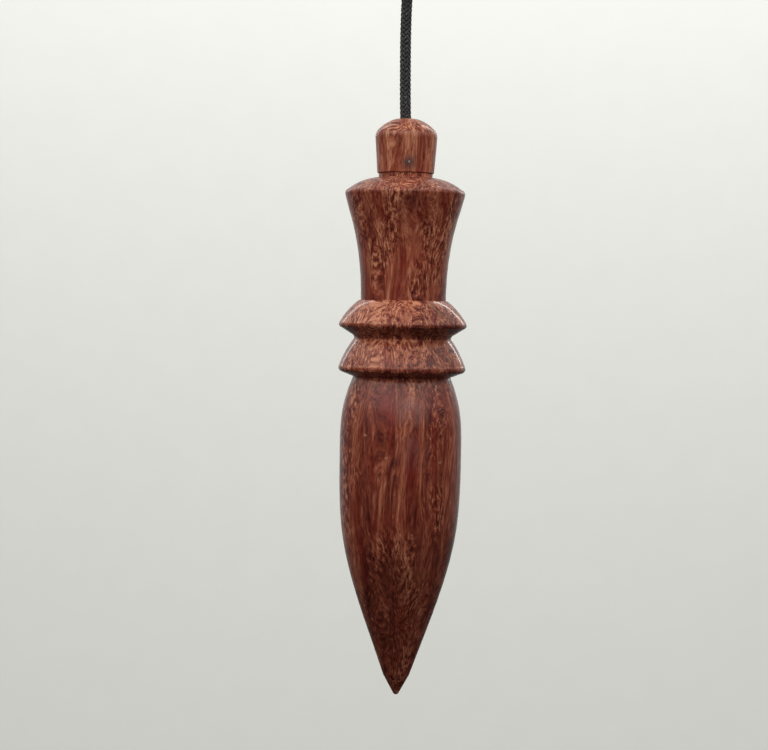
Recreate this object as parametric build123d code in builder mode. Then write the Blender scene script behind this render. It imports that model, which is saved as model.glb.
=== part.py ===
from build123d import *
import math
import os

# A turned hardwood plumb bob of the dowsing-pendulum kind, hung on a braided cord.
# All sizes are in millimetres.  +Z runs up the axis of the bob, and the origin is the tip of its
# point.  The front is -Y.  In the outlines, the first number is a radius and the second a height.

# --- driving dimensions -------------------------------------------------------------------

bob_height = 100.3              # tip of the point to the top of the cap
running_fit = 0.05              # gap between parts that turn or slide on each other
glue_line = 0.02                # gap between parts that are fixed together

# the lower body: a blunt pencil point and a long swelling drop
tip_radius = 0.55
point_half_angle = 29.0
point_height = 3.5
drop_outline = [(5.4, 12.2), (8.76, 22.7), (10.1, 29.8), (10.58, 42.5), (10.24, 49.6)]
drop_top = (8.45, 55.6)

# two collars with undercut rims, and a rounded groove between them
lower_rim = (11.05, 56.95)
lower_rim_round = 0.55
lower_collar_bulge = 0.2
upper_groove = (8.45, 62.2)
upper_groove_round = 0.8
upper_rim = (11.1, 64.5)
upper_rim_round = 0.45
upper_collar_bulge = 0.27
quirk = (0.3, 0.05)             # small step where the waist meets the upper collar

# the waist flares up to a rim, with a low dome and a short neck on it
waist = (7.38, 68.9)
flare_outline = [(7.78, 75.7), (9.13, 82.7)]
flare_rim = (10.35, 87.05)
flare_rim_round = 0.5
dome_bulge = 0.42
neck_radius = 4.7
neck_root_height = 90.15
neck_top_height = 90.85

# the cap
cap_bottom_height = 90.9
cap_bottom_radius = 4.95
cap_arris = 0.15
cap_widest = (5.36, 97.0)
cap_crown_outline = [(5.22, 97.85), (4.42, 98.85), (2.95, 99.86)]
cap_lip_width = 0.6             # rounded lip of the cord hole

# the screw joint between cap and body, and the witness chamber under it
dowel_radius = 2.75
dowel_chamfer = 0.4
thread_pitch = 1.5
thread_length = 8.0             # dowel inside the neck when the cap is closed
dowel_socket_depth = 6.05       # dowel inside the cap
socket_chamfer = 0.3
chamber_floor_height = 68.0
drill_point_half_angle = 59.0

# the brad through the side of the cap into the dowel
brad_height = 92.6
brad_azimuth = 6.0              # degrees round from the front towards +X
brad_shank_radius = 0.25
brad_head_radius = 0.35
brad_head_depth = 0.3
brad_head_round = 0.1
brad_point_radius = 1.6         # its inner end, measured from the axis of the bob
brad_stands_out = 0.03

# the cord, its two knots and the finger bead
cord_radius = 0.9
cord_hole_radius = 1.0
knot_radius = 2.2
knot_end_radius = 1.2
knot_height = 4.2
bead_bottom_height = 124.0
bead_height = 8.0
bead_radius = 5.0
bead_foot_radius = 4.4
bead_mouth_radius = 4.2
bead_top_radius = 2.6
swing_limit = 60.0              # largest tilt of the cord that the mouth of the bead allows
pivot_above_bead_bottom = 1.25
bend_radius = 1.1               # the cord bunches up to this where it bends in the mouth

# --- sizes worked out from those above ----------------------------------------------------

dowel_bottom_height = cap_bottom_height - thread_length
dowel_top_height = cap_bottom_height + dowel_socket_depth
dowel_socket_radius = dowel_radius + glue_line
chamber_radius = dowel_radius + running_fit
chamber_tip_height = chamber_floor_height - chamber_radius / math.tan(math.radians(drill_point_half_angle))

brad_angle = math.radians(brad_azimuth)
brad_plane = Plane(
    origin=(0, 0, brad_height),
    x_dir=(0, 0, 1),
    z_dir=(math.sin(brad_angle), -math.cos(brad_angle), 0),
)
brad_share = (brad_height - cap_bottom_height) / (cap_widest[1] - cap_bottom_height)
cap_radius_at_brad = cap_bottom_radius + brad_share * (cap_widest[0] - cap_bottom_radius)
brad_outer_radius = cap_radius_at_brad + brad_stands_out
brad_seat_radius = brad_outer_radius - brad_head_depth

knot_top_height = dowel_bottom_height - running_fit
bead_top_height = bead_bottom_height + bead_height
pivot_height = bead_bottom_height + pivot_above_bead_bottom
cord_run = pivot_height - knot_top_height
mouth_depth = (bead_mouth_radius - cord_hole_radius) / math.tan(math.radians(swing_limit))

os.makedirs("parts", exist_ok=True)


# --- helpers ------------------------------------------------------------------------------

def save(piece, name):
    """Label a finished piece and write it to its own file."""
    piece.part.label = name
    export_step(piece.part, f"parts/{name}.step")


def collar(corner, rim, rim_round, bulge, top):
    """Outline of one collar: its undercut, its rounded rim and its bulging upper cone."""
    rim_low = (rim[0] - rim_round, rim[1] - rim_round)
    rim_high = (rim[0] - 0.25 * rim_round, rim[1] + 1.2 * rim_round)
    Line(corner, rim_low)
    ThreePointArc(rim_low, rim, rim_high)
    SagittaArc(rim_high, top, -bulge)


def knot_outline(bottom):
    """Outline of a tight stopper knot, a squat barrel with a flat at each end for the cord."""
    top = bottom + knot_height
    middle = bottom + knot_height / 2
    Polyline((knot_end_radius, top), (0, top), (0, bottom), (knot_end_radius, bottom))
    Spline(
        (knot_end_radius, bottom),
        (knot_radius, middle),
        (knot_end_radius, top),
        tangents=[(1, 0.4), (-1, 0.4)],
    )


# --- the turned body ----------------------------------------------------------------------

with BuildPart() as bob_body:
    with BuildSketch(Plane.XZ):
        with BuildLine():
            # tip, point and drop
            tip = CenterArc((0, tip_radius), tip_radius, -90, 90 - point_half_angle)
            point_run = (point_height - (tip @ 1).Y) * math.tan(math.radians(point_half_angle))
            point = Line(tip @ 1, ((tip @ 1).X + point_run, point_height))
            Spline(point @ 1, *drop_outline, drop_top, tangents=[(0.36, 1), (-0.42, 1)])

            # the two collars and the groove between them
            collar(drop_top, lower_rim, lower_rim_round, lower_collar_bulge, upper_groove)
            groove_lip = (upper_groove[0] + 0.65 * upper_groove_round, upper_groove[1] + upper_groove_round)
            SagittaArc(upper_groove, groove_lip, 0.2 * upper_groove_round)
            quirk_corner = (waist[0] + quirk[0], waist[1] - quirk[1])
            collar(groove_lip, upper_rim, upper_rim_round, upper_collar_bulge, quirk_corner)

            # waist, flare and rim
            Line(quirk_corner, waist)
            Spline(waist, *flare_outline, flare_rim, tangents=[(0.01, 1), (0.22, 1)])
            dome_edge = (flare_rim[0] - flare_rim_round, flare_rim[1] + 2.1 * flare_rim_round)
            ThreePointArc(flare_rim, (flare_rim[0], flare_rim[1] + 1.2 * flare_rim_round), dome_edge)

            # dome, neck, and the threaded socket with the witness chamber
            dome_top = (neck_radius, neck_root_height)
            SagittaArc(dome_edge, dome_top, -dome_bulge)
            Polyline(
                dome_top,
                (neck_radius, neck_top_height),
                (chamber_radius + socket_chamfer, neck_top_height),
                (chamber_radius, neck_top_height - socket_chamfer),
                (chamber_radius, chamber_floor_height),
                (0, chamber_tip_height),
                (0, 0),
            )
        make_face()
    revolve(axis=Axis.Z)
save(bob_body, "bob_body")


# --- the cap, its dowel and the brad that pins them ---------------------------------------

with BuildPart() as cap:
    with BuildSketch(Plane.XZ):
        with BuildLine():
            Polyline(
                (cord_hole_radius, dowel_top_height + glue_line),
                (dowel_socket_radius, dowel_top_height + glue_line),
                (dowel_socket_radius, cap_bottom_height),
                (cap_bottom_radius - cap_arris, cap_bottom_height),
                (cap_bottom_radius, cap_bottom_height + cap_arris),
                cap_widest,
            )
            lip_outside = (cord_hole_radius + cap_lip_width, bob_height)
            lip_inside = (cord_hole_radius, bob_height - cap_lip_width)
            Spline(cap_widest, *cap_crown_outline, lip_outside, tangents=[(0.03, 1), (-1, 0.1)])
            RadiusArc(lip_outside, lip_inside, -cap_lip_width)
            Line(lip_inside, (cord_hole_radius, dowel_top_height + glue_line))
        make_face()
    revolve(axis=Axis.Z)
    with BuildSketch(brad_plane):
        Circle(brad_shank_radius + glue_line)
    extrude(amount=cap_widest[0] + 1, mode=Mode.SUBTRACT)
    with BuildSketch(brad_plane.offset(brad_seat_radius)):
        Circle(brad_head_radius + glue_line)
    extrude(amount=1, mode=Mode.SUBTRACT)
save(cap, "cap")

with BuildPart() as cap_dowel:
    with BuildSketch(Plane.XZ):
        with BuildLine():
            Polyline(
                (cord_hole_radius, dowel_bottom_height),
                (dowel_radius - dowel_chamfer, dowel_bottom_height),
                (dowel_radius, dowel_bottom_height + dowel_chamfer),
                (dowel_radius, dowel_top_height),
                (cord_hole_radius, dowel_top_height),
                close=True,
            )
        make_face()
    revolve(axis=Axis.Z)
    with BuildSketch(brad_plane.offset(brad_point_radius - glue_line)):
        Circle(brad_shank_radius + glue_line)
    extrude(amount=dowel_radius, mode=Mode.SUBTRACT)
save(cap_dowel, "cap_dowel")

with BuildPart() as cap_brad:
    with BuildSketch(brad_plane.offset(brad_point_radius)):
        Circle(brad_shank_radius)
    extrude(amount=brad_seat_radius + glue_line - brad_point_radius)
    with BuildSketch(brad_plane.offset(brad_seat_radius + glue_line)):
        Circle(brad_head_radius)
    extrude(amount=brad_head_depth - glue_line)
    head_face = cap_brad.faces().sort_by(Axis(brad_plane.origin, brad_plane.z_dir))[-1]
    fillet(head_face.edges(), brad_head_round)
save(cap_brad, "cap_brad")


# --- the cord, as straight runs that meet in a bend ---------------------------------------

# stopper knot under the dowel, which carries the bob
with BuildPart() as cord_knot:
    with BuildSketch(Plane.XZ):
        with BuildLine():
            knot_outline(knot_top_height - knot_height)
        make_face()
    revolve(axis=Axis.Z)
save(cord_knot, "cord_knot")

# the taut run from the knot up through the cap to the mouth of the bead
with BuildPart() as cord_line:
    with BuildSketch(Plane.XY.offset(knot_top_height)):
        Circle(cord_radius)
    extrude(amount=cord_run)
    with Locations((0, 0, pivot_height)):
        Sphere(bend_radius + glue_line, mode=Mode.SUBTRACT)
save(cord_line, "cord_line")

# the bend, round the point that the cord swings about
with BuildPart(Plane.XY.offset(pivot_height)) as cord_bend:
    Sphere(bend_radius)
save(cord_bend, "cord_bend")

# the run inside the bead
with BuildPart() as cord_in_bead:
    with BuildSketch(Plane.XY.offset(pivot_height)):
        Circle(cord_radius)
    extrude(amount=bead_top_height - pivot_height)
    with Locations((0, 0, pivot_height)):
        Sphere(bend_radius + glue_line, mode=Mode.SUBTRACT)
save(cord_in_bead, "cord_in_bead")

# knot on top of the bead
with BuildPart() as top_knot:
    with BuildSketch(Plane.XZ):
        with BuildLine():
            knot_outline(bead_top_height)
        make_face()
    revolve(axis=Axis.Z)
save(top_knot, "top_knot")


# --- the finger bead, with a flared mouth underneath for the cord to swing in --------------

with BuildPart() as finger_bead:
    with BuildSketch(Plane.XZ):
        with BuildLine():
            side = ThreePointArc(
                (bead_foot_radius, bead_bottom_height),
                (bead_radius, bead_bottom_height + 0.4 * bead_height),
                (bead_top_radius, bead_top_height),
            )
            Polyline(
                side @ 1,
                (cord_hole_radius, bead_top_height),
                (cord_hole_radius, bead_bottom_height + mouth_depth),
                (bead_mouth_radius, bead_bottom_height),
                side @ 0,
            )
        make_face()
    revolve(axis=Axis.Z)
save(finger_bead, "finger_bead")

cord_volume = math.pi * cord_radius**2 * cord_run
print(f"screw: {thread_length / thread_pitch:.3f} turns over {thread_length} mm")
print(f"cord: one straight run of {cord_run:.2f} mm with no arcs, pivot at {pivot_height} mm")
print(f"cord: solid {cord_line.part.volume:.1f} mm3, section times length {cord_volume:.1f} mm3")
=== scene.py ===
"""A turned hardwood plumb bob on a black braided cord, hung in soft studio light.

The bob hangs from a finger bead above the picture.  The front is -Y.  Blender works in metres, and
the outlines here are in millimetres, as (radius, height), because the object is small.
"""

import math

import bpy
import numpy as np
from mathutils import Matrix, Vector


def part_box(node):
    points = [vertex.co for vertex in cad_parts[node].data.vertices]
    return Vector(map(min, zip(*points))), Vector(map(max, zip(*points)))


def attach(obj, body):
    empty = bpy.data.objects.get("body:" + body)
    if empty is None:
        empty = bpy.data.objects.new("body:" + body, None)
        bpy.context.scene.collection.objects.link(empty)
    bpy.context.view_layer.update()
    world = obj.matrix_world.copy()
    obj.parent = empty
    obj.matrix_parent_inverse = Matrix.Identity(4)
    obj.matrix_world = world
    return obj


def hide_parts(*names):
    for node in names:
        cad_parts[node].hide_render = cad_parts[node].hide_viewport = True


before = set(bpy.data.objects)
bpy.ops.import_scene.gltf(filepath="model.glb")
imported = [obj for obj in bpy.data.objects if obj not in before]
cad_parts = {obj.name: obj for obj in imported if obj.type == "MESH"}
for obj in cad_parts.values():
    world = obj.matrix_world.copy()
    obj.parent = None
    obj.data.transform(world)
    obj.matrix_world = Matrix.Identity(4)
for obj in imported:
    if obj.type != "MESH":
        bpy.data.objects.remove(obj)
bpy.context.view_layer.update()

MM = 0.001


# --- boxes of the CAD nodes, in millimetres --------------------------------------------------

def node_box(node):
    """Lowest and highest corner of a CAD node, in millimetres."""
    low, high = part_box(node)
    return low / MM, high / MM


_, BODY_HIGH = node_box("bob_body")
CAP_LOW, CAP_HIGH = node_box("cap")
DOWEL_LOW, DOWEL_HIGH = node_box("cap_dowel")
BEAD_LOW, BEAD_HIGH = node_box("finger_bead")
BRAD_LOW, BRAD_HIGH = node_box("cap_brad")
_, LOWER_KNOT_HIGH = node_box("cord_knot")
TOP_KNOT_LOW, _ = node_box("top_knot")
BEND_LOW, BEND_HIGH = node_box("cord_bend")


# --- sizes of the object, in millimetres ----------------------------------------------------
# A pair is (radius, height), and a curve's WAYS are its directions at its two ends.

# the body's point and drop
TIP_RADIUS = 0.55
POINT_HALF_ANGLE = math.radians(29)
POINT_HEIGHT = 3.5
DROP_OUTLINE = [(5.4, 12.2), (8.76, 22.7), (10.1, 29.8), (10.58, 42.5), (10.24, 49.6)]
DROP_TOP = (8.45, 55.6)
DROP_WAYS = (0.36, 1), (-0.42, 1)

# the two collars, and the hollow groove between them
LOWER_RIM = (11.05, 56.95)
LOWER_RIM_ROUND = 0.55
LOWER_BULGE = 0.2
GROOVE_LOW = (8.45, 62.2)
GROOVE_HIGH = (8.97, 63.0)
GROOVE_HOLLOW = 0.16
UPPER_RIM = (11.1, 64.5)
UPPER_RIM_ROUND = 0.45
UPPER_BULGE = 0.27
UPPER_TOP = (7.68, 68.85)

# the flared waist, the low dome over it and the neck
WAIST = (7.38, 68.9)
FLARE_OUTLINE = [(7.78, 75.7), (9.13, 82.7)]
FLARE_TOP = (10.35, 87.05)
FLARE_WAYS = (0.01, 1), (0.22, 1)
FLARE_RIM = (10.35, 87.65)
DOME_START = (9.85, 88.1)
DOME_BULGE = 0.42
NECK_RADIUS = 4.7
NECK_ROOT = 90.15
NECK_BEVEL = 0.07

# the screw thread and the chamber under it
DOWEL_RADIUS = DOWEL_HIGH.x
CHAMBER_RADIUS = DOWEL_RADIUS + 0.05
CHAMBER_FLOOR = 68.0
CHAMBER_TIP = 66.32
SOCKET_BEVEL = 0.3
DOWEL_BEVEL = 0.4
THREAD_PITCH = 1.5
THREAD_DEPTH = 0.42

# the cap
CAP_FOOT_RADIUS = 4.95
CAP_FOOT_ROUND = 0.15
CAP_WIDEST = (5.36, 97.0)
CAP_CROWN = [(5.22, 97.85), (4.42, 98.85), (2.95, 99.86)]
CROWN_WAYS = (0.03, 1), (-1, 0.1)
CAP_LIP = 0.6                   # the rounding of the cord hole's mouth
GLUE_GAP = 0.02                 # between the dowel and the cap

# the brad in the cap, and the middle of its head
BRAD_HEIGHT = (BRAD_LOW.z + BRAD_HIGH.z) / 2
BRAD_ANGLE = math.radians(6.0)
BRAD_OUT = Vector((math.sin(BRAD_ANGLE), -math.cos(BRAD_ANGLE), 0))
BRAD_HEAD = BRAD_OUT * 5.09 + Vector((0, 0, BRAD_HEIGHT))
STAIN_PLACE = BRAD_OUT * 4.9 + Vector((0, 0, BRAD_HEIGHT - 0.1))

# the cord
CORD_RADIUS = 0.9
BRAID_RADIUS = 0.97             # the braid's high points stand a little proud of its mean radius
CORD_HOLE = 1.0
KNOT_STRAND = 0.68
BUNCH_RADIUS = 0.98
BUNCH_HALF_HEIGHT = 0.9

# the finger bead
BEAD_FOOT_RADIUS = 4.4
BEAD_RADIUS = 5.0
BEAD_BELLY = 3.2                # height of its widest place
BEAD_TOP_RADIUS = 2.6
BEAD_DIMPLE = (1.9, 0.02)       # the shallow hollow in its top: middle radius, depth
BEAD_LIP = 0.3
MOUTH_RADIUS = 4.2
MOUTH_SLOPE = math.radians(60)


# --- outlines -------------------------------------------------------------------------------

def line(start, end, count):
    """Points along a straight run, without its end."""
    steps = np.linspace(0, 1, count, endpoint=False)[:, None]
    return list(np.array(start) + steps * (np.array(end) - np.array(start)))


def arc(start, middle, end, count):
    """Points along the circle through three points, without its end."""
    a, b, c = (complex(*p) for p in (start, middle, end))
    w = (c - a) / (b - a)
    centre = (b - a) * (w - abs(w) ** 2) / (2j * w.imag) + a
    radius = abs(a - centre)
    first = np.angle(a - centre)
    through = (np.angle(b - centre) - first) % (2 * math.pi)
    sweep = (np.angle(c - centre) - first) % (2 * math.pi)
    if through > sweep:
        sweep -= 2 * math.pi
    turns = first + sweep * np.linspace(0, 1, count, endpoint=False)
    return list(np.column_stack([centre.real + radius * np.cos(turns), centre.imag + radius * np.sin(turns)]))


def quarter(start, corner, end, count):
    """Points along the quarter circle that rounds a square corner, without its end."""
    start, corner, end = (np.array(point) for point in (start, corner, end))
    centre = start + end - corner
    return arc(start, centre + math.sqrt(0.5) * (corner - centre), end, count)


def bulge(start, end, height, count):
    """Points along an arc that bulges to the right of the way from start to end by that height."""
    start, end = np.array(start, float), np.array(end, float)
    way = (end - start) / np.linalg.norm(end - start)
    middle = (start + end) / 2 + height * np.array((way[1], -way[0]))
    return arc(start, middle, end, count)


def smooth(points, first_way, last_way, count):
    """Points along a cubic spline through the given ones, with its directions at both ends."""
    points = np.array(points, float)
    knots = np.concatenate([[0], np.cumsum(np.linalg.norm(np.diff(points, axis=0), axis=1))])
    size = len(points)
    matrix = np.zeros((size, size))
    right = np.zeros((size, 2))
    matrix[0, 0] = matrix[-1, -1] = 1
    right[0] = np.array(first_way) / np.linalg.norm(first_way)
    right[-1] = np.array(last_way) / np.linalg.norm(last_way)
    for i in range(1, size - 1):
        before, after = knots[i] - knots[i - 1], knots[i + 1] - knots[i]
        matrix[i, i - 1 : i + 2] = after, 2 * (before + after), before
        right[i] = 3 * (
            after / before * (points[i] - points[i - 1]) + before / after * (points[i + 1] - points[i])
        )
    ways = np.linalg.solve(matrix, right)
    made = []
    for t in np.linspace(0, knots[-1], count, endpoint=False):
        i = min(np.searchsorted(knots, t, side="right") - 1, size - 2)
        span = knots[i + 1] - knots[i]
        u = (t - knots[i]) / span
        made.append(
            (1 + 2 * u) * (1 - u) ** 2 * points[i]
            + u * (1 - u) ** 2 * span * ways[i]
            + u * u * (3 - 2 * u) * points[i + 1]
            + u * u * (u - 1) * span * ways[i + 1]
        )
    return made


def collar(corner, rim, rim_round, rise, top):
    """Outline of a collar: its undercut, its rounded rim and its bulging upper cone."""
    rim_low = (rim[0] - rim_round, rim[1] - rim_round)
    rim_high = (rim[0] - 0.25 * rim_round, rim[1] + 1.2 * rim_round)
    return line(corner, rim_low, 10) + arc(rim_low, rim, rim_high, 8) + bulge(rim_high, top, rise, 28)


def point_outline():
    """The body's blunt point, from its tip up to the drop, and where the drop starts."""
    def on_tip(angle):
        return TIP_RADIUS * math.cos(angle), TIP_RADIUS + TIP_RADIUS * math.sin(angle)

    side = on_tip(-POINT_HALF_ANGLE)
    top = (side[0] + (POINT_HEIGHT - side[1]) * math.tan(POINT_HALF_ANGLE), POINT_HEIGHT)
    halfway = -(math.pi / 2 + POINT_HALF_ANGLE) / 2
    return arc((0, 0), on_tip(halfway), side, 8) + line(side, top, 12), top


def socket_outline():
    """The top of the body's neck, and its socket down to the chamber's floor."""
    high = BODY_HIGH.z
    outline = line((NECK_RADIUS - NECK_BEVEL, high), (CHAMBER_RADIUS + SOCKET_BEVEL, high), 6)
    outline += line((CHAMBER_RADIUS + SOCKET_BEVEL, high), (CHAMBER_RADIUS, high - SOCKET_BEVEL), 4)
    outline += line((CHAMBER_RADIUS, high - SOCKET_BEVEL), (CHAMBER_RADIUS, CHAMBER_FLOOR), 240)
    outline += line((CHAMBER_RADIUS, CHAMBER_FLOOR), (0, CHAMBER_TIP), 12)
    return outline + [np.array((0, CHAMBER_TIP))]


def body_outline():
    """The body from the tip of its point, up its outside, and down its socket."""
    outline, point_top = point_outline()
    outline += smooth([point_top, *DROP_OUTLINE, DROP_TOP], *DROP_WAYS, 160)
    outline += collar(DROP_TOP, LOWER_RIM, LOWER_RIM_ROUND, LOWER_BULGE, GROOVE_LOW)
    outline += bulge(GROOVE_LOW, GROOVE_HIGH, -GROOVE_HOLLOW, 8)
    outline += collar(GROOVE_HIGH, UPPER_RIM, UPPER_RIM_ROUND, UPPER_BULGE, UPPER_TOP)
    outline += line(UPPER_TOP, WAIST, 3)
    outline += smooth([WAIST, *FLARE_OUTLINE, FLARE_TOP], *FLARE_WAYS, 70)
    outline += arc(FLARE_TOP, FLARE_RIM, DOME_START, 12)
    outline += bulge(DOME_START, (NECK_RADIUS, NECK_ROOT), DOME_BULGE, 28)
    bevel_low = (NECK_RADIUS, BODY_HIGH.z - NECK_BEVEL)
    outline += line((NECK_RADIUS, NECK_ROOT), bevel_low, 4)
    outline += line(bevel_low, (NECK_RADIUS - NECK_BEVEL, BODY_HIGH.z), 2)
    return outline + socket_outline()


def cap_outline():
    """The cap, round its wall: up the outside, down the cord hole and down the dowel's socket."""
    low, high = CAP_LOW.z, CAP_HIGH.z
    socket = DOWEL_RADIUS + GLUE_GAP
    socket_top = DOWEL_HIGH.z + GLUE_GAP
    foot_edge = (CAP_FOOT_RADIUS - CAP_FOOT_ROUND, low)
    side_foot = (CAP_FOOT_RADIUS, low + CAP_FOOT_ROUND)
    mouth = (CORD_HOLE + CAP_LIP, high)
    hole_top = (CORD_HOLE, high - CAP_LIP)
    outline = line((socket, low), foot_edge, 8)
    outline += quarter(foot_edge, (CAP_FOOT_RADIUS, low), side_foot, 5)
    outline += line(side_foot, CAP_WIDEST, 60)
    outline += smooth([CAP_WIDEST, *CAP_CROWN, mouth], *CROWN_WAYS, 48)
    outline += quarter(mouth, (CORD_HOLE, high), hole_top, 10)
    outline += line(hole_top, (CORD_HOLE, socket_top), 16)
    outline += line((CORD_HOLE, socket_top), (socket, socket_top), 6)
    return outline + line((socket, socket_top), (socket, low), 24)


def dowel_outline():
    """The dowel, round its wall."""
    low, high = DOWEL_LOW.z, DOWEL_HIGH.z
    outline = line((CORD_HOLE, low), (DOWEL_RADIUS - DOWEL_BEVEL, low), 6)
    outline += line((DOWEL_RADIUS - DOWEL_BEVEL, low), (DOWEL_RADIUS, low + DOWEL_BEVEL), 5)
    outline += line((DOWEL_RADIUS, low + DOWEL_BEVEL), (DOWEL_RADIUS, high), 260)
    outline += line((DOWEL_RADIUS, high), (CORD_HOLE, high), 6)
    return outline + line((CORD_HOLE, high), (CORD_HOLE, low), 20)


def bead_outline():
    """The finger bead, round its wall: up the outside, down the cord hole and out of the mouth."""
    low, high = BEAD_LOW.z, BEAD_HIGH.z
    mouth_top = low + (MOUTH_RADIUS - CORD_HOLE) / math.tan(MOUTH_SLOPE)
    dimple_radius, dimple_depth = BEAD_DIMPLE
    lip = (CORD_HOLE + BEAD_LIP, high)
    hole_top = (CORD_HOLE, high - BEAD_LIP)
    outline = arc((BEAD_FOOT_RADIUS, low), (BEAD_RADIUS, low + BEAD_BELLY), (BEAD_TOP_RADIUS, high), 60)
    outline += arc((BEAD_TOP_RADIUS, high), (dimple_radius, high - dimple_depth), lip, 8)
    outline += quarter(lip, (CORD_HOLE, high), hole_top, 6)
    outline += line(hole_top, (CORD_HOLE, mouth_top), 16)
    return outline + line((CORD_HOLE, mouth_top), (MOUTH_RADIUS, low), 20)


# --- surfaces that aren't quite round -------------------------------------------------------

def fade(value, low, high):
    """Rises smoothly from 0 at low to 1 at high."""
    t = np.clip((value - low) / (high - low), 0, 1)
    return t * t * (3 - 2 * t)


def thread_cut(height, angle):
    """How deep the screw thread is: 0 on its crest, which climbs as the angle grows."""
    phase = (height / THREAD_PITCH - angle / (2 * math.pi)) % 1.0
    return THREAD_DEPTH * (1 - fade(2.6 * np.abs(2 * phase - 1), 0.8, 1.8))


def hand_turned(radius, height, angle):
    """The small unevenness that a hand-held tool leaves on a turned surface."""
    wave = 0.012 * np.sin(3 * angle + 0.21 * height) + 0.008 * np.sin(2 * angle - 0.45 * height + 1.1)
    rings = 0.006 * np.sin(2.4 * height + 0.7 * np.sin(0.31 * height)) * (1 + 0.4 * np.sin(angle + 2))
    return radius + (wave + rings) * fade(radius, 1.5, 5.0)


# small dents in the sharp rims: angle from +X in degrees, height, depth, width along the rim
RIM_DENTS = [
    (-128, 64.6, 0.10, 0.5),
    (-38, 64.6, 0.06, 0.4),
    (70, 64.6, 0.12, 0.7),
    (-62, 57.0, 0.07, 0.6),
    (160, 57.0, 0.10, 0.5),
    (15, 87.4, 0.06, 0.5),
]
DENT_HEIGHT = 0.3


def body_shape(radius, height, angle):
    """The body's real surface: uneven and dented outside, threaded in the socket.  The thread starts
    just under the dowel's end, and stops short of the socket's mouth."""
    if radius <= CHAMBER_RADIUS + SOCKET_BEVEL + 0.01 and height > CHAMBER_TIP - 0.3:
        inside = fade(height, DOWEL_LOW.z - 1.2, DOWEL_LOW.z - 0.2)
        lead_in = 1 - fade(height, BODY_HIGH.z - 0.7, BODY_HIGH.z - 0.25)
        on_wall = radius <= CHAMBER_RADIUS + 0.01
        return radius - thread_cut(height, angle) * inside * lead_in * on_wall
    made = hand_turned(radius, height, angle)
    for where, level, depth, width in RIM_DENTS:
        off = (angle - math.radians(where) + math.pi) % (2 * math.pi) - math.pi
        made = made - depth * np.exp(-((off * radius / width) ** 2) - ((height - level) / DENT_HEIGHT) ** 2)
    return made


def dowel_shape(radius, height, angle):
    """The dowel's thread, which matches the socket's and runs out under the cap."""
    if radius < DOWEL_RADIUS - DOWEL_BEVEL + 0.01:
        return radius + 0 * angle
    run_out = 1 - fade(height, CAP_LOW.z - 0.4, CAP_LOW.z + 0.1)
    return radius - thread_cut(height, angle) * run_out


def cap_shape(radius, height, angle):
    """The cap is uneven only on its outside."""
    if radius < 4.0 and height < 99.0:
        return radius + 0 * angle
    return hand_turned(radius, height, angle)


# --- mesh making ----------------------------------------------------------------------------

def mesh_object(name, vertices, faces, sharp_angle=32):
    """An object with a smooth-shaded mesh whose sharp edges stay sharp."""
    mesh = bpy.data.meshes.new(name)
    mesh.from_pydata([tuple(v) for v in vertices], [], faces)
    mesh.validate()
    mesh.shade_smooth()
    mesh.set_sharp_from_angle(angle=math.radians(sharp_angle))
    made = bpy.data.objects.new(name, mesh)
    bpy.context.scene.collection.objects.link(made)
    return made


def lathe(name, outline, shape, closed):
    """Turns an outline round the Z axis.  An outline that isn't closed starts and ends on the axis."""
    segments = 256
    on_axis = 1e-6
    angles = np.linspace(0, 2 * math.pi, segments, endpoint=False)
    vertices, rings = [], []
    for radius, height in outline:
        if radius < on_axis:
            rings.append([len(vertices)] * segments)
            vertices.append((0, 0, height * MM))
            continue
        real = shape(radius, height, angles)
        rings.append(list(range(len(vertices), len(vertices) + segments)))
        vertices += zip(real * np.cos(angles) * MM, real * np.sin(angles) * MM, [height * MM] * segments)
    faces = []
    pairs = list(zip(rings, rings[1:]))
    if closed:
        pairs.append((rings[-1], rings[0]))
    for low, high in pairs:
        for i in range(segments):
            j = (i + 1) % segments
            corners = [low[i], low[j], high[j], high[i]]
            faces.append([c for n, c in enumerate(corners) if c not in corners[:n]])
    return mesh_object(name, vertices, faces)


def finish_piece(piece, body, materials, node):
    """Gives a piece its body and its materials, and hides the CAD node that it stands for."""
    for material in materials:
        piece.data.materials.append(material)
    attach(piece, body)
    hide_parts(node)
    return piece


# --- node trees -----------------------------------------------------------------------------

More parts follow.
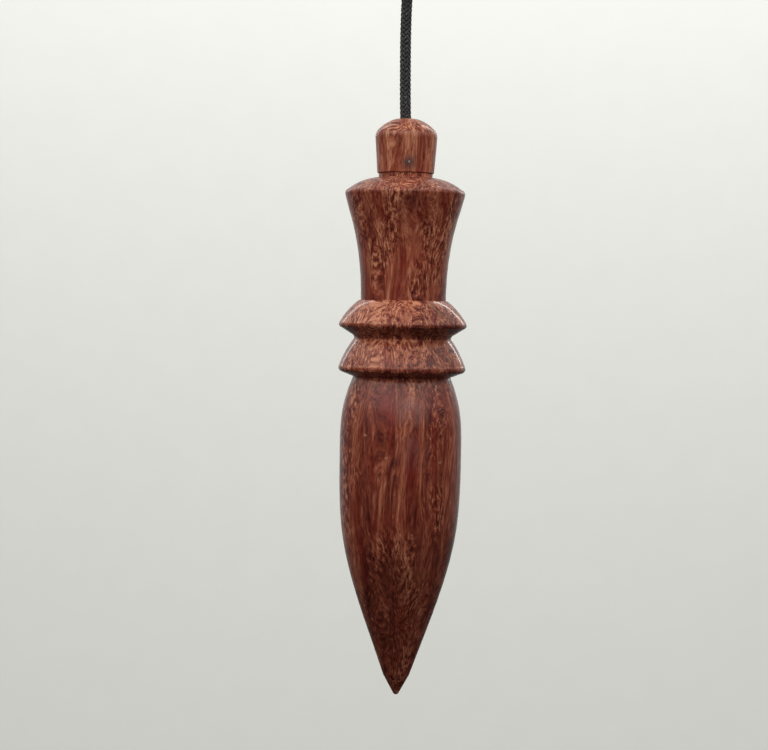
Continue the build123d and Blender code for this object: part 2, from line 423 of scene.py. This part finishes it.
class Nodes:
    """A node tree under construction: each call adds a node and links what it is given."""

    def __init__(self, tree):
        self.nodes = tree.nodes
        self.links = tree.links

    def add(self, kind, sockets, **settings):
        """Adds a node.  sockets maps an input's name or number to a value or to another output."""
        node = self.nodes.new("ShaderNode" + kind)
        for key, value in settings.items():
            setattr(node, key, value)
        for key, value in sockets.items():
            self.put(node.inputs[key], value)
        return node

    def put(self, socket, value):
        """Links an output to a socket, or sets the socket's own value."""
        if isinstance(value, bpy.types.NodeSocket):
            self.links.new(value, socket)
        else:
            socket.default_value = value

    def part(self, vector, axis):
        """One coordinate of a vector."""
        return self.add("SeparateXYZ", {0: vector}).outputs[axis]

    def stretch(self, place, scale):
        """Coordinates scaled for a pattern that is longer one way than another."""
        return self.add("Mapping", {"Vector": place, "Scale": scale}).outputs[0]

    def noise(self, place, detail=2.0, rough=0.5, bend=0.0):
        """Smooth noise with features about one unit across."""
        sockets = {"Vector": place, "Scale": 1.0, "Detail": detail, "Roughness": rough, "Distortion": bend}
        return self.add("TexNoise", sockets).outputs["Fac"]

    def maths(self, operation, first, second=0.0, third=0.0):
        """One sum of up to three values."""
        return self.add("Math", {0: first, 1: second, 2: third}, operation=operation).outputs[0]

    def scaled(self, value, factor, shift=0.0):
        """A value times a factor, plus a shift."""
        return self.maths("MULTIPLY_ADD", value, factor, shift)

    def product(self, first, *others):
        """Values multiplied together."""
        for other in others:
            first = self.maths("MULTIPLY", first, other)
        return first

    def vector_maths(self, operation, first, second):
        """One sum of two vectors."""
        return self.add("VectorMath", {0: first, 1: second}, operation=operation).outputs["Vector"]

    def spread(self, value, low, high, to_low=0.0, to_high=1.0):
        """Moves a value from one range to another, smoothly, and keeps it inside."""
        sockets = {"Value": value, "From Min": low, "From Max": high, "To Min": to_low, "To Max": to_high}
        return self.add("MapRange", sockets, interpolation_type="SMOOTHSTEP").outputs[0]

    def between(self, amount, first, second):
        """A value that goes from the first to the second as the amount goes from 0 to 1."""
        return self.add("Mix", {0: amount, 2: first, 3: second}).outputs[0]

    def near(self, place, centre, inner, outer):
        """1 within inner of a point, falling to 0 at outer."""
        away = self.add("VectorMath", {0: place, 1: centre}, operation="DISTANCE").outputs["Value"]
        return self.spread(away, inner, outer, 1.0, 0.0)


class Shader(Nodes):
    """A material under construction."""

    def __init__(self, name):
        self.material = bpy.data.materials.new(name)
        self.material.use_nodes = True
        super().__init__(self.material.node_tree)
        self.surface = self.nodes["Principled BSDF"]

    def finish(self, **values):
        """Sets the surface shader's inputs, with underscores for the spaces in their names."""
        for key, value in values.items():
            self.put(self.surface.inputs[key.replace("_", " ")], value)
        return self.material

    def millimetres(self):
        """Object coordinates in millimetres."""
        place = self.add("TexCoord", {}).outputs["Object"]
        return self.stretch(place, (1 / MM, 1 / MM, 1 / MM))

    def mix(self, amount, first, second, blend="MIX"):
        """One colour mixed into another.  The node's colours are its inputs 6 and 7, and its output 2."""
        node = self.nodes.new("ShaderNodeMix")
        node.data_type = "RGBA"
        node.blend_type = blend
        self.put(node.inputs[0], amount)
        self.put(node.inputs[6], first)
        self.put(node.inputs[7], second)
        return node.outputs[2]

    def ramp(self, value, stops):
        """Colours at places between 0 and 1."""
        node = self.add("ValToRGB", {"Fac": value})
        elements = node.color_ramp.elements
        while len(elements) < len(stops):
            elements.new(0.5)
        for element, (place, shade) in zip(elements, stops):
            element.position = place
            element.color = shade
        return node.outputs["Color"]

    def bump(self, height, depth):
        """A bumped normal.  depth is in millimetres."""
        return self.add("Bump", {"Height": height, "Strength": 1.0, "Distance": depth * MM}).outputs[0]


def colour(red, green, blue):
    """A colour from its 0 to 255 screen values."""
    parts = [c / 255 for c in (red, green, blue)]
    return (*[c / 12.92 if c <= 0.04045 else ((c + 0.055) / 1.055) ** 2.4 for c in parts], 1)


# --- wood -----------------------------------------------------------------------------------

def facing_up(shader):
    """1 on a surface that faces up, 0 on a wall and -1 on one that faces down."""
    return shader.part(shader.add("TexCoord", {}).outputs["Normal"], "Z")


def grain(shader, place):
    """The grain of interlocked red hardwood: 0 is dark summer wood and 1 is pale early wood.
    Returns the grain, the open pores and the coordinates that both follow."""
    slow = shader.stretch(place, (0.22, 0.22, 0.05))
    sway = shader.add("TexNoise", {"Vector": slow, "Scale": 1.0, "Detail": 1.0}).outputs["Color"]
    shift = shader.vector_maths("SUBTRACT", sway, (0.5, 0.5, 0.5))
    shift = shader.vector_maths("MULTIPLY", shift, (5.0, 5.0, 0.0))
    flow = shader.vector_maths("ADD", place, shift)
    streaks = shader.noise(shader.stretch(flow, (2.3, 2.3, 0.2)), 3.0, 0.62, 0.15)
    streaks = shader.scaled(streaks, 0.55, 0.225)
    flecks = shader.noise(shader.stretch(flow, (2.3, 2.3, 0.75)), 3.0, 0.68, 0.1)
    flecks = shader.scaled(flecks, 1.35, -0.175)
    bands = shader.noise(shader.stretch(flow, (0.62, 0.3, 0.02)), 2.0, 0.55)
    bands = shader.scaled(bands, 1.15, -0.075)
    # flecks instead of streaks in cloudy areas, and where the surface is cut across the grain
    clouds = shader.noise(shader.stretch(place, (0.16, 0.16, 0.07)))
    across = shader.spread(shader.maths("ABSOLUTE", facing_up(shader)), 0.15, 0.5)
    mottled = shader.maths("MAXIMUM", shader.spread(clouds, 0.42, 0.62), across)
    fine = shader.between(mottled, streaks, flecks)
    total = shader.scaled(bands, 0.28, shader.product(fine, 0.72))
    pores = shader.noise(shader.stretch(flow, (5.5, 5.5, 0.6)), 1.0)
    return total, shader.spread(pores, 0.57, 0.68), flow


# the varnished wood's colours, from summer wood to early wood, and where the grain has them
WOOD_RAMP = [
    (0.36, colour(70, 25, 22)),
    (0.44, colour(106, 46, 36)),
    (0.50, colour(141, 69, 52)),
    (0.56, colour(178, 102, 77)),
    (0.65, colour(220, 150, 116)),
]
RED_WOOD = colour(122, 26, 20)
PORE = colour(40, 14, 12)
BOTTOM_DARKENING_TINT = colour(74, 34, 26)
IRON_STAIN = colour(70, 56, 62)
PALE_SPECK_COLOUR = colour(206, 160, 128)

# broad patches of other colour in the body's wood, and two pale ones of painted sheen: angle from the front
# in degrees, height, radius, size, strength and colour
BODY_PATCHES_AND_SHEEN = [
    (38, 60.5, 10.0, 6.5, 0.6, colour(70, 28, 26)),
    (44, 66.3, 9.6, 5.5, 0.6, colour(72, 28, 26)),
    (-10, 51.0, 10.0, 5.0, 0.28, colour(158, 62, 46)),
    # painted sheen: these two pale grey patches stand for a soft reflection of the light down the body's
    # front
    (9, 50.0, 10.2, 3.6, 0.5, colour(158, 112, 106)),
    (12, 43.0, 10.5, 4.4, 0.4, colour(146, 92, 88)),
    (-5, 31.0, 10.1, 4.4, 0.4, colour(146, 52, 40)),
    (16, 76.5, 7.9, 4.6, 0.45, colour(156, 60, 46)),
    (-24, 72.5, 7.5, 3.4, 0.35, colour(140, 54, 42)),
    (6, 86.0, 10.0, 3.0, 0.5, colour(76, 26, 26)),
    (150, 80.0, 8.4, 5.0, 0.4, colour(150, 58, 44)),
    (0, 21.0, 8.3, 6.5, 0.5, colour(104, 46, 35)),
    (-8, 11.0, 5.0, 4.5, 0.35, colour(112, 52, 40)),
    (-120, 40.0, 10.5, 6.0, 0.4, colour(150, 56, 42)),
    (-160, 58.0, 10.5, 5.0, 0.5, colour(72, 28, 26)),
]

# pale specks on the body: angle from the front in degrees, height, radius, size
BODY_PALE_SPECKS = [
    (-35, 45.9, 10.5, 0.26),
    (-13.3, 42.2, 10.58, 0.24),
    (39.6, 41.4, 10.58, 0.3),
    (-47, 13.8, 5.95, 0.22),
    (-57, 16.1, 6.7, 0.2),
    (112, 33.0, 10.35, 0.3),
    (-150, 47.5, 10.42, 0.25),
    (171, 25.0, 9.3, 0.2),
    (22, 57.6, 10.93, 0.18),
    (-95, 85.0, 9.75, 0.22),
]


def around(angle, radius, height):
    """A place on the bob, in millimetres.  The angle is in degrees, from the front towards +X."""
    turn = math.radians(angle)
    return radius * math.sin(turn), -radius * math.cos(turn), height


def paling_and_painted_light(shader, height, pale_top):
    """How much paler the grain is above the collars, and on the collars' upper cones, where the paleness is
    painted light from above.
    """
    collars = shader.product(shader.spread(height, 54.0, 58.0), shader.spread(height, 68.8, 69.0, 1.0, 0.0))
    # painted light: the collars' up-facing cones are made paler, as if lit from above
    painted_cone_light = shader.product(shader.spread(facing_up(shader), 0.15, 0.5), collars)
    return shader.scaled(painted_cone_light, 0.055, shader.spread(height, 58.0, 74.0, 0.0, pale_top))


def add_patches(shader, wood, plain, flow, patches):
    """Broad patches with ragged edges that follow the grain."""
    ragged = shader.spread(shader.noise(shader.stretch(flow, (0.9, 0.9, 0.16))), 0.38, 0.6, 0.25, 1.0)
    for angle, level, radius, size, strength, tint in patches:
        reach = shader.near(plain, around(angle, radius, level), 0.2 * size, size)
        wood = shader.mix(shader.product(reach, ragged, strength), wood, tint)
    return wood


def add_bottom_darkening(shader, wood, place, height, depth):
    """Darker colour towards the bottom, which fades out upwards at a level that wanders."""
    wander = shader.noise(shader.stretch(place, (0.2, 0.2, 0.1)))
    darkening_amount = shader.spread(shader.scaled(wander, 24.0, height), 20.0, 66.0, depth, 0.0)
    return shader.mix(darkening_amount, wood, BOTTOM_DARKENING_TINT, "MULTIPLY")


def add_stain(shader, wood, plain, place, centre):
    """The blue-black stain that iron leaves in the wood round it."""
    blur = shader.noise(shader.stretch(place, (1.3, 1.3, 0.7)))
    reach = shader.near(plain, centre, 0.3, 1.9)
    amount = shader.product(reach, shader.spread(blur, 0.3, 0.6, 0.6, 1.0), 0.75)
    return shader.mix(amount, wood, IRON_STAIN)


def add_pale_specks(shader, wood, plain, place, pale_specks):
    """Small pale specks, ragged by noise."""
    marks = shader.spread(shader.noise(shader.stretch(place, (4.0, 4.0, 4.0))), 0.40, 0.56)
    for angle, level, radius, size in pale_specks:
        speck_reach = shader.near(plain, around(angle, radius, level), 0.3 * size, 1.6 * size)
        wood = shader.mix(shader.product(speck_reach, marks, 0.8), wood, PALE_SPECK_COLOUR)
    return wood


def make_wood(name, offset, patches=(), pale_specks=(), stain=None, bottom_darkening=0.0, pale_top=0.0):
    """Glossy varnished red-brown hardwood, with patches of other colour and of painted sheen, pale specks and
    the stain of an iron brad.  It is darker towards the bottom by the darkening argument and paler above the
    collars by pale_top.  The offset moves the grain, so that no two pieces share it."""
    shader = Shader(name)
    plain = shader.millimetres()
    place = shader.vector_maths("ADD", plain, offset)
    height = shader.part(plain, "Z")
    total, pores, flow = grain(shader, place)
    wood = shader.ramp(shader.maths("ADD", total, paling_and_painted_light(shader, height, pale_top)), WOOD_RAMP)
    redness = shader.noise(shader.stretch(flow, (0.5, 0.5, 0.05)), 1.0)
    wood = shader.mix(shader.spread(redness, 0.5, 0.72, 0.0, 0.55), wood, RED_WOOD)
    if patches:
        wood = add_patches(shader, wood, plain, flow, patches)
    wood = shader.mix(shader.product(pores, 0.5), wood, PORE)
    if bottom_darkening:
        wood = add_bottom_darkening(shader, wood, place, height, bottom_darkening)
    if stain:
        wood = add_stain(shader, wood, plain, place, stain)
    if pale_specks:
        wood = add_pale_specks(shader, wood, plain, place, pale_specks)
    rough = shader.spread(shader.noise(shader.stretch(place, (0.5, 0.5, 0.2)), 3.0), 0.3, 0.7, 0.34, 0.5)
    relief = shader.scaled(pores, -0.7, total)
    ripple = shader.noise(shader.stretch(place, (0.35, 0.35, 0.8)))
    return shader.finish(
        Base_Color=wood,
        Roughness=rough,
        Specular_IOR_Level=0.08,
        Coat_Weight=0.7,
        Coat_Roughness=0.1,
        Coat_IOR=1.4,
        Normal=shader.bump(relief, 0.020),
        Coat_Normal=shader.bump(shader.scaled(relief, 0.12, ripple), 0.035),
    )


def make_bare_wood(name, offset, dark, pale):
    """Unvarnished wood, for what only shows when the bob is unscrewed."""
    shader = Shader(name)
    total, pores, _ = grain(shader, shader.vector_maths("ADD", shader.millimetres(), offset))
    wood = shader.ramp(total, [(0.36, dark), (0.62, pale)])
    wood = shader.mix(shader.product(pores, 0.5), wood, dark)
    return shader.finish(
        Base_Color=wood,
        Roughness=shader.spread(total, 0.35, 0.65, 0.62, 0.8),
        Specular_IOR_Level=0.3,
        Normal=shader.bump(shader.scaled(pores, -0.8, total), 0.05),
    )


# --- cord, steel and paper ------------------------------------------------------------------

def make_cord_material():
    """Black polyester yarn: fine filaments, slightly shiny, with pale grey specks painted on as highlights.
    """
    shader = Shader("black_yarn")
    place = shader.millimetres()
    filaments = shader.noise(shader.stretch(place, (16, 16, 9)), 2.0, 0.6)
    painted_glints = shader.noise(shader.stretch(place, (6, 6, 6)), 2.0, 0.7)
    yarn = shader.ramp(filaments, [(0.35, colour(10, 10, 12)), (0.65, colour(44, 43, 46))])
    # painted highlights: pale grey specks on the black yarn
    yarn = shader.mix(shader.spread(painted_glints, 0.55, 0.66, 0.0, 0.7), yarn, colour(146, 144, 148))
    return shader.finish(
        Base_Color=yarn,
        Roughness=shader.spread(filaments, 0.3, 0.7, 0.42, 0.62),
        Sheen_Weight=0.25,
        Sheen_Roughness=0.4,
        Normal=shader.bump(filaments, 0.05),
    )


def make_steel():
    """The brad's steel: bright in a small painted highlight at the middle of its head, and dark at its edge.
    """
    shader = Shader("brad_steel")
    place = shader.millimetres()
    scratches = shader.noise(shader.stretch(place, (9, 9, 30)), 3.0, 0.7)
    spots = shader.noise(shader.stretch(place, (5, 5, 5)))
    metal = shader.ramp(scratches, [(0.3, colour(158, 152, 148)), (0.7, colour(222, 214, 206))])
    metal = shader.mix(shader.spread(spots, 0.56, 0.7, 0.0, 0.7), metal, colour(96, 84, 80))
    # painted highlight: brighter metal in a small spot at the middle of the head
    painted_glint = shader.near(place, tuple(BRAD_HEAD), 0.1, 0.24)
    return shader.finish(
        Base_Color=shader.mix(painted_glint, colour(112, 96, 98), metal),
        Metallic=1.0,
        Roughness=shader.spread(scratches, 0.3, 0.7, 0.18, 0.38),
        Normal=shader.bump(scratches, 0.01),
    )


def make_paper(name, shade):
    """The studio's matt sweep."""
    shader = Shader(name)
    speck = shader.noise(shader.stretch(shader.millimetres(), (0.05, 0.05, 0.05)))
    tone = shader.ramp(speck, [(0.3, tuple(0.985 * c for c in shade[:3]) + (1,)), (0.7, shade)])
    return shader.finish(Base_Color=tone, Roughness=0.9, Specular_IOR_Level=0.1)


# --- camera ---------------------------------------------------------------------------------

def facing(place, target):
    """The turn that points a camera or a light at its target."""
    return (Vector(target) - Vector(place)).to_track_quat("-Z", "Y")


def make_camera():
    """A camera a little above the waist of the bob, at arm's length."""
    data = bpy.data.cameras.new("camera")
    camera = bpy.data.objects.new("camera", data)
    bpy.context.scene.collection.objects.link(camera)
    distance = 350.0
    view_width = 133.6
    data.sensor_width = 36.0
    data.lens = data.sensor_width * distance / view_width
    data.clip_start = 0.01
    data.clip_end = 20.0
    place = Vector((-2.6, -distance, 68.0)) * MM
    target = Vector((-3.1, 0, 55.86)) * MM
    lean = math.radians(1.08)
    camera.location = place
    camera.rotation_mode = "QUATERNION"
    leaning = facing(place, target).to_matrix() @ Matrix.Rotation(lean, 3, "Z")
    camera.rotation_quaternion = leaning.to_quaternion()
    bpy.context.scene.camera = camera


make_camera()


# --- the cord -------------------------------------------------------------------------------

def route_points(name, points):
    """The smooth NURBS line through a route's control points, as a list of points in metres."""
    curve = bpy.data.curves.new(name, "CURVE")
    curve.dimensions = "3D"
    curve.resolution_u = 24
    spline = curve.splines.new("NURBS")
    spline.points.add(len(points) - 1)
    for control, point in zip(spline.points, points):
        control.co = (*(Vector(point) * MM), 1)
    spline.order_u = 3
    spline.use_endpoint_u = True
    holder = bpy.data.objects.new(name, curve)
    bpy.context.scene.collection.objects.link(holder)
    line_mesh = bpy.data.meshes.new_from_object(holder)
    found = [vertex.co.copy() for vertex in line_mesh.vertices]
    bpy.data.objects.remove(holder)
    return found


def along(points, step):
    """Evenly spaced points on a route, and their distances along it."""
    points = np.array(points)
    run = np.concatenate([[0], np.cumsum(np.linalg.norm(np.diff(points, axis=0), axis=1))])
    distances = np.linspace(0, run[-1], max(int(run[-1] / step), 4) + 1)
    return np.column_stack([np.interp(distances, run, points[:, i]) for i in range(3)]), distances


def unit(vectors):
    """Each row of an array of vectors, made one long."""
    return vectors / np.linalg.norm(vectors, axis=1)[:, None]


def sides_along(points):
    """Two steady directions across a route, at each of its points."""
    ways = unit(np.gradient(points, axis=0))
    side = np.array((1.0, 0, 0))
    sides = []
    for way in ways:
        side = side - way * (side @ way)
        side /= np.linalg.norm(side)
        sides.append(side)
    return np.array(sides), np.cross(ways, sides)


def tube(vertices, faces, centres, across, over, half_width, half_height, sides=8):
    """Adds a flat-oval tube round the centres, with its two ends closed."""
    first = len(vertices)
    turn = np.linspace(0, 2 * math.pi, sides, endpoint=False)
    for centre, a, o in zip(centres, across, over):
        for t in turn:
            vertices.append(centre + a * half_width * math.cos(t) + o * half_height * math.sin(t))
    for ring in range(len(centres) - 1):
        low = first + ring * sides
        for i in range(sides):
            j = (i + 1) % sides
            faces.append([low + i, low + j, low + sides + j, low + sides + i])
    faces.append([first + i for i in reversed(range(sides))])
    last = first + (len(centres) - 1) * sides
    faces.append([last + i for i in range(sides)])


def braid(name, points, radius, lay=6.4, swell=None):
    """A round braid of that outer radius along a route, in millimetres: 8 strands run round it each
    way, each over two and under two of the others, about a dark core.  lay is the length of one turn
    of a strand, and swell scales the radius along the route."""
    strands = 8
    step = 0.12
    centres, distances = along(points, step * MM)
    distances = distances / MM
    sides, tops = sides_along(centres)
    vertices, faces = [], []
    thick = 0.13 * radius
    wide = 0.26 * radius
    middle = radius - 2.0 * thick
    scale = np.ones(len(centres)) if swell is None else swell(distances / distances[-1])
    crossings = 2 * strands * distances / lay
    for direction in (1, -1):
        for strand in range(strands):
            angle = direction * 2 * math.pi * distances / lay + 2 * math.pi * strand / strands
            phase = math.pi * (direction * crossings / 2 + strand + 0.25)
            weave = math.sqrt(2) * np.sin(phase)
            lift = direction * thick * np.clip(weave, -1, 1)
            out = np.cos(angle)[:, None] * sides + np.sin(angle)[:, None] * tops
            strand_line = centres + out * ((middle + lift) * scale)[:, None] * MM
            ahead = unit(np.gradient(strand_line, axis=0))
            over = unit(out - ahead * np.sum(out * ahead, axis=1)[:, None])
            across = np.cross(ahead, over)
            tube(vertices, faces, strand_line, across, over, wide * MM, 1.05 * thick * MM)
    core = (middle - 0.4 * thick) * MM
    tube(vertices, faces, centres, sides * scale[:, None], tops * scale[:, None], core, core, 16)
    return mesh_object(name, vertices, faces, 60)


def cord_piece(name, points, radius, body, node, **how):
    """A braided piece of the cord, which stands for a CAD node."""
    return finish_piece(braid(name, points, radius, **how), body, [cord_material], node)


def knot_route(start, way):
    """The line of a barrel knot: up the axis, over the top, and round itself back down.  It begins at
    the height start, and way is 1 where it stands above that and -1 where it hangs below."""
    turns = 2.6
    climb = 1.34
    wrap_radius = 1.42
    top = 3.45
    steps_a_turn = 10
    points = [(0, 0, 0), (0, 0, 1.2), (0, 0, 2.5), (0.3, 0.1, top), (1.0, 0.7, top + 0.3)]
    for i in range(int(turns * steps_a_turn)):
        angle = 2 * math.pi * (i / steps_a_turn + 0.18)
        height = top - climb * i / steps_a_turn
        points.append((wrap_radius * math.cos(angle), wrap_radius * math.sin(angle), height))
    angle = 2 * math.pi * (turns + 0.22)
    for radius, turn, height in ((1.55, angle, 0.55), (1.6, angle + 0.5, 0.75)):
        points.append((radius * math.cos(turn), radius * math.sin(turn), height))
    return [(x, y, start + way * z) for x, y, z in points]


def ball(t):
    """The outline of a bunched-up ball of cord, from 0.35 at its ends to 1 at its middle."""
    return np.sqrt(np.clip(1 - 0.88 * (2 * t - 1) ** 2, 0, 1))


# The route repeats the run of the CAD cord, from the lower knot to the bend in the bead's mouth.
# The cord leans a little to the left of the bob's axis between the cap and the bead.
CORD_ROUTE = [
    (0, 0, 82.9),
    (0, 0, 96.0),
    (0, 0, 99.3),
    (-0.3, 0, 101.2),
    (-0.55, 0, 121.0),
    (0, 0, 125.2),
]
BEND_MIDDLE = (BEND_LOW.z + BEND_HIGH.z) / 2
BEND_ROUTE = [(0, 0, BEND_MIDDLE + rise) for rise in (-BUNCH_HALF_HEIGHT, 0, BUNCH_HALF_HEIGHT)]
BEAD_ROUTE = [(0, 0, BEND_MIDDLE), (0, 0, 129), (0, 0, TOP_KNOT_LOW.z)]

cord_material = make_cord_material()
cord_path = route_points("cord_route", CORD_ROUTE)
bend_path = route_points("bend_route", BEND_ROUTE)
bead_path = route_points("bead_route", BEAD_ROUTE)
lower_path = route_points("lower_knot_route", knot_route(LOWER_KNOT_HIGH.z, -1))
top_path = route_points("top_knot_route", knot_route(TOP_KNOT_LOW.z, 1))

cord_line = cord_piece("braided_cord", cord_path, BRAID_RADIUS, "line", "cord_line")
cord_in_bead = cord_piece("cord_through_bead", bead_path, CORD_RADIUS, "grip", "cord_in_bead")
cord_bend = cord_piece("cord_bunch", bend_path, BUNCH_RADIUS, "bend", "cord_bend", lay=3.6, swell=ball)
lower_knot = cord_piece("stopper_knot", lower_path, KNOT_STRAND, "cord_end", "cord_knot", lay=4.8)
top_knot = cord_piece("finger_knot", top_path, KNOT_STRAND, "grip", "top_knot", lay=4.8)


# --- the turned pieces ----------------------------------------------------------------------

def paint_inside(piece, is_inside):
    """Gives the second material to the faces whose centre (radius, height), in mm, is inside."""
    for face in piece.data.polygons:
        centre = face.center / MM
        if is_inside(math.hypot(centre.x, centre.y), centre.z):
            face.material_index = 1


def in_socket(radius, height):
    """The body's bored wood, and the ring on top of its neck that the cap rests on."""
    return height > CHAMBER_TIP - 1 and (radius < 3.3 or height > BODY_HIGH.z - 0.03)


def in_cap(radius, height):
    """The cap's bored wood and its bottom face."""
    return (radius < DOWEL_RADIUS + 0.03 and height < CAP_HIGH.z - CAP_LIP) or height < CAP_LOW.z + 0.01


def in_bead(radius, height):
    """The bead's bored wood."""
    return radius < CORD_HOLE + 0.02 and height < BEAD_HIGH.z - 0.2


bore_wood = make_bare_wood("bored_wood", (11, 4, 7), colour(88, 40, 26), colour(168, 98, 62))
body_wood = make_wood(
    "body_varnished_wood", (0, 0, 0), patches=BODY_PATCHES_AND_SHEEN, pale_specks=BODY_PALE_SPECKS, bottom_darkening=0.48, pale_top=0.03
)
body = lathe("turned_body", body_outline(), body_shape, closed=False)
finish_piece(body, "bob", [body_wood, bore_wood], "bob_body")
paint_inside(body, in_socket)

cap_wood = make_wood("cap_varnished_wood", (31, 17, 5), stain=tuple(STAIN_PLACE), pale_top=0.065)
cap = lathe("turned_cap", cap_outline(), cap_shape, closed=True)
finish_piece(cap, "cap", [cap_wood, bore_wood], "cap")
paint_inside(cap, in_cap)

dowel_wood = make_bare_wood("dowel_wood", (3, 8, 40), colour(150, 104, 62), colour(206, 164, 112))
dowel = lathe("threaded_dowel", dowel_outline(), dowel_shape, closed=True)
finish_piece(dowel, "cap", [dowel_wood], "cap_dowel")

bead_wood = make_wood("bead_varnished_wood", (7, 52, 3))
bead = lathe("turned_bead", bead_outline(), hand_turned, closed=True)
finish_piece(bead, "grip", [bead_wood, bore_wood], "finger_bead")
paint_inside(bead, in_bead)

steel = make_steel()
for material_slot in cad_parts["cap_brad"].material_slots:
    material_slot.material = steel


# --- the studio, in metres ------------------------------------------------------------------

def make_sweep():
    """A sheet of pale paper: a floor below the bob that curves up into a wall behind it.  The
    world's light, not the paper's, falls on the bob."""
    floor = -0.45
    near_edge = -2.5
    curve_start = 0.55
    curve_radius = 0.25
    half_width = 2.5
    top = 1.6
    steps = 24
    profile = [(near_edge, floor), (curve_start, floor)]
    for i in range(1, steps + 1):
        turn = math.pi / 2 * i / steps
        rise = curve_radius * (1 - math.cos(turn))
        profile.append((curve_start + curve_radius * math.sin(turn), floor + rise))
    profile.append((curve_start + curve_radius, top))
    vertices = [(x, y, z) for y, z in profile for x in (-half_width, half_width)]
    faces = [[2 * i, 2 * i + 1, 2 * i + 3, 2 * i + 2] for i in range(len(profile) - 1)]
    sweep = mesh_object("paper_sweep", vertices, faces, 60)
    sweep.data.materials.append(make_paper("pale_paper", colour(228, 230, 225)))
    sweep.visible_diffuse = False
    sweep.visible_glossy = False


def soft_light(name, place, target, size, power):
    """A rectangular softbox that faces a point, and that the camera doesn't see."""
    data = bpy.data.lights.new(name, "AREA")
    data.shape = "RECTANGLE"
    data.size, data.size_y = size
    data.energy = power
    light = bpy.data.objects.new(name, data)
    bpy.context.scene.collection.objects.link(light)
    light.location = place
    light.rotation_mode = "QUATERNION"
    light.rotation_quaternion = facing(place, target)
    light.visible_camera = False
    return light


# how bright the tent of light is: overhead, level with the bob, below it, and as a strip behind it
TENT_TOP = 1.05
TENT_LEVEL = 0.45
TENT_LOW = 0.02
TENT_BACK = 0.4
SEEN_BACKDROP = 0.72            # how bright the camera sees it, past the paper's edges
TENT_COLOUR = (1.0, 0.985, 0.955, 1)


def make_world():
    """A tent of soft light.  Overhead it is brightest towards the front and a little brighter on the
    left, with a dim spot at the zenith.  A bright strip stands behind the bob, and below is dark."""
    world = bpy.data.worlds.new("studio")
    world.use_nodes = True
    bpy.context.scene.world = world
    tent = Nodes(world.node_tree)
    way = tent.add("TexCoord", {}).outputs["Generated"]
    aside, away, up = (tent.part(way, axis) for axis in "XYZ")
    overhead = tent.product(
        tent.spread(up, 0.05, 0.6, 0.0, TENT_TOP),
        tent.spread(away, -0.7, 0.6, 1.75, 0.22),
        tent.spread(aside, -0.8, 0.8, 1.04, 0.78),
        tent.spread(up, 0.5, 0.95, 1.0, 0.15),
    )
    level = tent.product(
        tent.spread(up, -0.15, 0.4, TENT_LOW, TENT_LEVEL),
        tent.spread(away, 0.1, 0.9, 1.0, 0.75),
    )
    behind = tent.product(
        tent.spread(away, 0.2, 0.95),
        tent.spread(tent.maths("ABSOLUTE", up), 0.04, 0.35, 1.0, 0.15),
    )
    light = tent.scaled(behind, TENT_BACK, tent.maths("ADD", overhead, level))
    seen = tent.add("LightPath", {}).outputs["Is Camera Ray"]
    backdrop = tent.nodes["Background"]
    tent.put(backdrop.inputs["Color"], TENT_COLOUR)
    tent.put(backdrop.inputs["Strength"], tent.between(seen, light, SEEN_BACKDROP))


make_sweep()
make_world()
wall_light = soft_light("wall_light", (0.05, 0.35, 0.6), (0.05, 0.8, 0.3), (1.2, 0.15), 4.4)
wall_light.visible_glossy = False
for side, power in ((-1, 0.22), (1, 0.33)):
    soft_light("edge_light", (0.28 * side, 0.43, 0.36), (0, 0, 0.06), (0.04, 0.45), power)

bpy.context.scene.view_settings.view_transform = "Standard"
